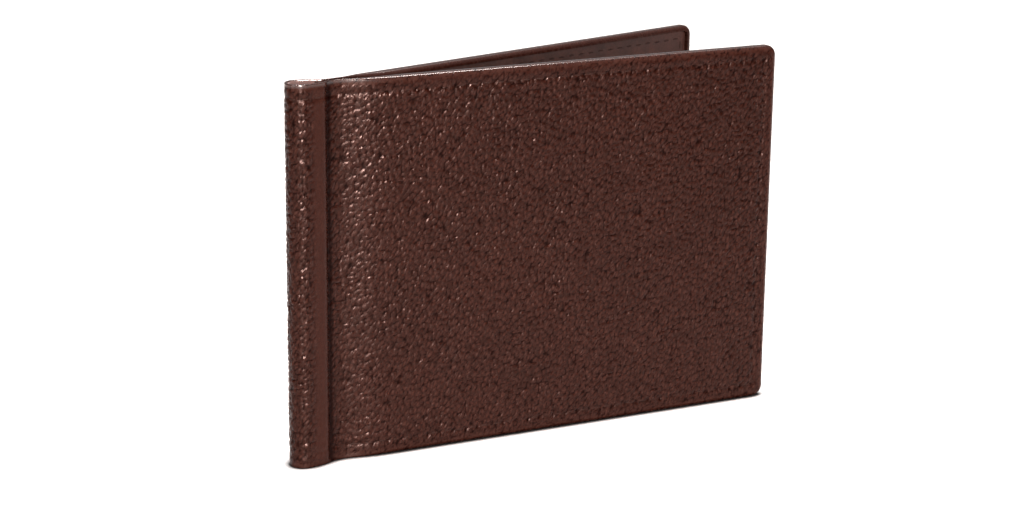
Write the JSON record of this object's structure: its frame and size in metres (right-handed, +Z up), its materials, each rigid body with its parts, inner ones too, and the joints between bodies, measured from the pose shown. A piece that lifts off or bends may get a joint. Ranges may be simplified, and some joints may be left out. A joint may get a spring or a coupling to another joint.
{
  "type": "bifold money clip wallet",
  "caption": "Bifold leather wallet with a hollow rolled spine, two hinged panels, card pockets and a swinging metal money clip in the fold.",
  "frame": {"origin": "middle of the footprint, on the surface that the wallet stands on", "axes": "+X from the spine to the free edges, +Y from the front panel to the back panel, +Z up along the spine"},
  "size_m": [0.1124, 0.0324, 0.08],
  "materials": {
    "outer_leather": "pebble grain, satin",
    "lining_leather": "smooth, matt",
    "pocket_leather": "smooth, satin",
    "spine_lining": "suede, matt",
    "thread": "waxed thread",
    "board": "bonded fibre board",
    "clip_metal": "polished nickel plate",
    "plate_steel": "brushed",
    "rivet_metal": "plain"
  },
  "bodies": {
    "spine": {"spine_cover": "outer_leather", "spine_lining": "spine_lining", "spine_stitching": "thread", "base_plate": "plate_steel", "plate_spacers": "plate_steel", "plate_rivets": "rivet_metal"},
    "clip": {"clip_bail": "clip_metal", "clip_bar": "clip_metal"},
    "front_panel": {"front_cover": "outer_leather", "front_board": "board", "front_lining": "lining_leather", "front_slip_pocket": "pocket_leather", "front_stitching": "thread"},
    "back_panel": {"back_cover": "outer_leather", "back_board": "board", "back_lining": "lining_leather", "back_card_pocket_upper": "pocket_leather", "back_card_pocket_lower": "pocket_leather", "back_stitching": "thread"}
  },
  "joints": [
    {"name": "front_hinge", "type": "hinge", "parent": "spine", "child": "front_panel", "pos_m": [-0.04559, -0.00095, 0.04], "axis": [0, 0, -1], "range_deg": [-5.6, 82]},
    {"name": "back_hinge", "type": "hinge", "parent": "spine", "child": "back_panel", "pos_m": [-0.04559, 0.00095, 0.04], "axis": [0, 0, 1], "range_deg": [-5.6, 82]},
    {"name": "clip_swing", "type": "hinge", "parent": "spine", "child": "clip", "pos_m": [-0.04559, 0, 0.04], "axis": [0, 0, 1], "range_deg": [-2.8, 41]}
  ],
  "couplings": [
    {"joint": "clip_swing", "follows": "back_hinge", "ratio": 0.5}
  ]
}
